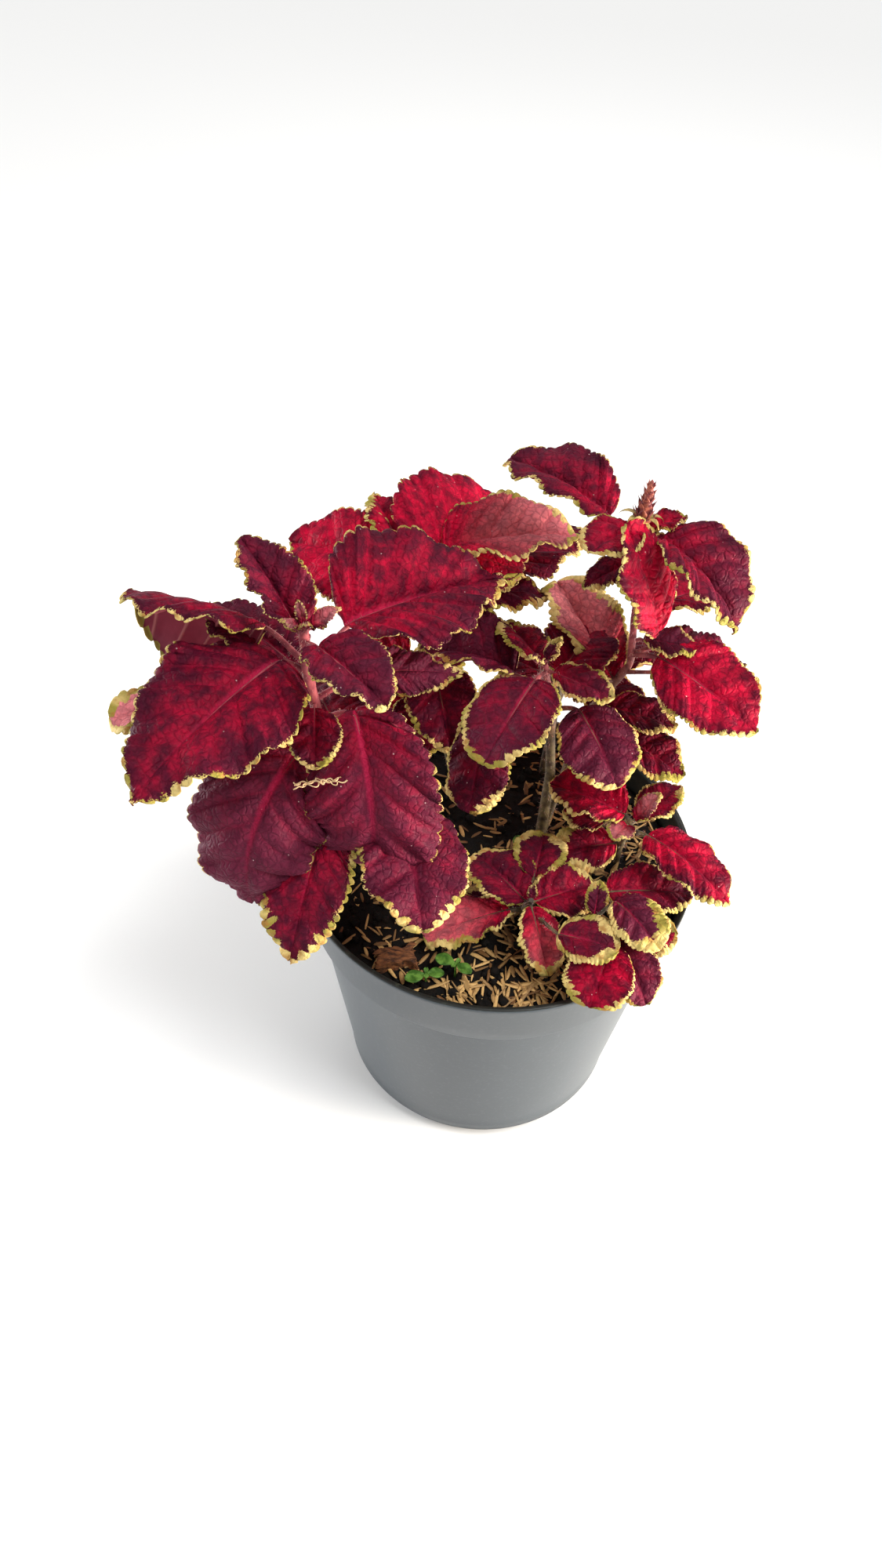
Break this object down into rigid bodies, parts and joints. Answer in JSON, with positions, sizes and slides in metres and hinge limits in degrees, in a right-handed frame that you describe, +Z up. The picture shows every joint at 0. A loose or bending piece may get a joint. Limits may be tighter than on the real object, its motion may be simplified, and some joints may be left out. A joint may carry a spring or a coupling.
{
  "type": "potted coleus",
  "caption": "Young coleus with broad scalloped two-tone leaves on several branching stems, growing in a thin round nursery pot filled with soil.",
  "frame": {"origin": "centre of the pot's flat underside, on the surface it stands on", "axes": "+Z up along the pot's axis, -Y towards the side the plant is seen from, +X to its right"},
  "size_m": [0.27, 0.222, 0.3387],
  "materials": {
    "pot_plastic": "satin",
    "potting_soil": "matte",
    "pine_bark": "matte",
    "green_leaf": "satin",
    "coleus_leaf": "velvet"
  },
  "bodies": {
    "root": {"pot": "pot_plastic", "soil": "potting_soil", "bark_chip": "pine_bark", "seedling_1": "green_leaf", "seedling_2": "green_leaf", "seedling_3": "green_leaf", "left_stem": "coleus_leaf", "back_stem": "coleus_leaf", "middle_stem": "coleus_leaf", "side_stem": "coleus_leaf", "front_stem": "coleus_leaf", "low_stem": "coleus_leaf", "rear_stem": "coleus_leaf", "rear_left_stem": "coleus_leaf"}
  },
  "joints": []
}
